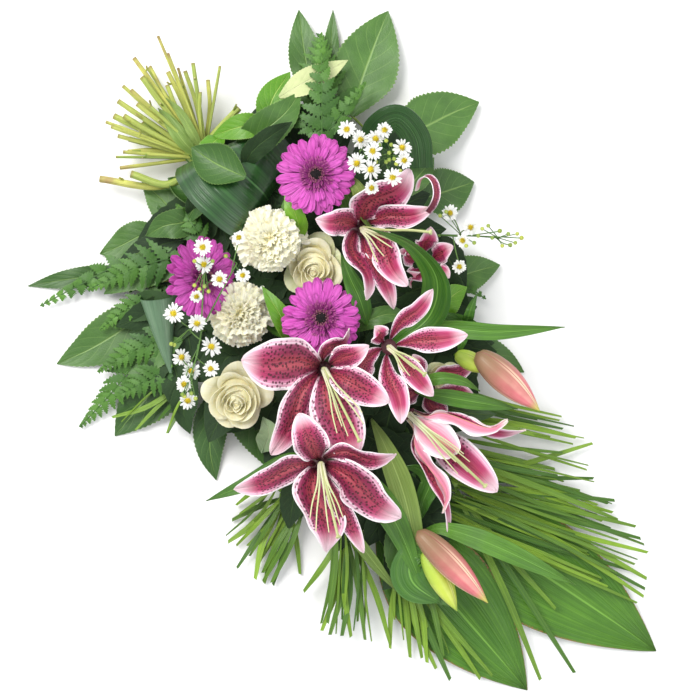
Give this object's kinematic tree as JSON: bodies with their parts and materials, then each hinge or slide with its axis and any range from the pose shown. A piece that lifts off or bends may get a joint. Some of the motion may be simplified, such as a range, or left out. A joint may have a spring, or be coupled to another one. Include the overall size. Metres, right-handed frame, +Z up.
{
  "type": "funeral flower arrangement",
  "caption": "Tied flat spray of cut lilies, gerberas, roses, carnations and foliage, lying on its back with the stem ends at one end.",
  "frame": {"origin": "middle of the bounding box at its lowest level, where the sheaf lies on a surface", "axes": "+X from the cut stem ends to the leaf tips, +Y across the sheaf, +Z up out of the surface it lies on"},
  "size_m": [0.8088, 0.5278, 0.1457],
  "materials": {
    "leaf_green": "satin leaf",
    "aspidistra_green": "glossy leaf",
    "fern_green": "matt frond",
    "palm_green": "satin strips",
    "ti_leaf_green": "satin leaf with a red edge",
    "stem_green": "matt stem and lily leaf",
    "raffia": "dry fibre",
    "lily_pink": "soft petal, white edge",
    "lily_filament": "matt filament",
    "gerbera_magenta": "soft petal",
    "gerbera_disc": "velvety disc",
    "carnation_ivory": "soft petal",
    "rose_cream": "soft petal",
    "bud_green": "satin bud",
    "bud_pink": "satin bud",
    "daisy_white": "soft petal"
  },
  "bodies": {
    "root": {"aspidistra_cone": "aspidistra_green", "aspidistra_loop": "aspidistra_green", "aspidistra_right": "aspidistra_green", "bud_green_lower": "bud_green", "bud_green_right": "bud_green", "bud_pink_lower": "bud_pink", "bud_pink_right": "bud_pink", "carnation_lower": "carnation_ivory", "carnation_upper": "carnation_ivory", "collar_dark_roll": "leaf_green", "collar_grey": "leaf_green", "collar_sprig": "leaf_green", "cream_leaf": "leaf_green", "daisies_left": "daisy_white", "daisies_right": "daisy_white", "daisies_upper": "daisy_white", "fern_left_comb": "fern_green", "fern_left_lower": "fern_green", "fern_left_middle": "fern_green", "fern_left_upper": "fern_green", "fern_right": "fern_green", "fern_top": "fern_green", "gerbera_disc_left": "gerbera_disc", "gerbera_disc_middle": "gerbera_disc", "gerbera_disc_top": "gerbera_disc", "gerbera_left": "gerbera_magenta", "gerbera_middle": "gerbera_magenta", "gerbera_top": "gerbera_magenta", "lily_a": "lily_pink", "lily_b": "lily_pink", "lily_c": "lily_pink", "lily_d": "lily_pink", "lily_e": "lily_pink", "lily_f": "lily_pink", "lily_g": "lily_pink", "palm_bottom": "palm_green", "palm_left": "palm_green", "palm_left_small": "palm_green", "palm_middle": "palm_green", "palm_right": "palm_green", "rose_hidden": "rose_cream", "rose_left": "rose_cream", "rose_middle": "rose_cream", "salal_bottom_left": "leaf_green", "salal_left_lower": "leaf_green", "salal_left_upper": "leaf_green", "salal_right_dark": "leaf_green", "salal_right_lower": "leaf_green", "salal_right_upper": "leaf_green", "salal_top": "leaf_green", "salal_upper_right": "leaf_green", "stamens_a": "lily_filament", "stamens_b": "lily_filament", "stamens_c": "lily_filament", "stamens_d": "lily_filament", "stamens_e": "lily_filament", "stem_bundle": "stem_green", "ti_leaf_lower": "ti_leaf_green", "ti_leaf_right": "ti_leaf_green", "tie": "raffia"}
  },
  "joints": []
}
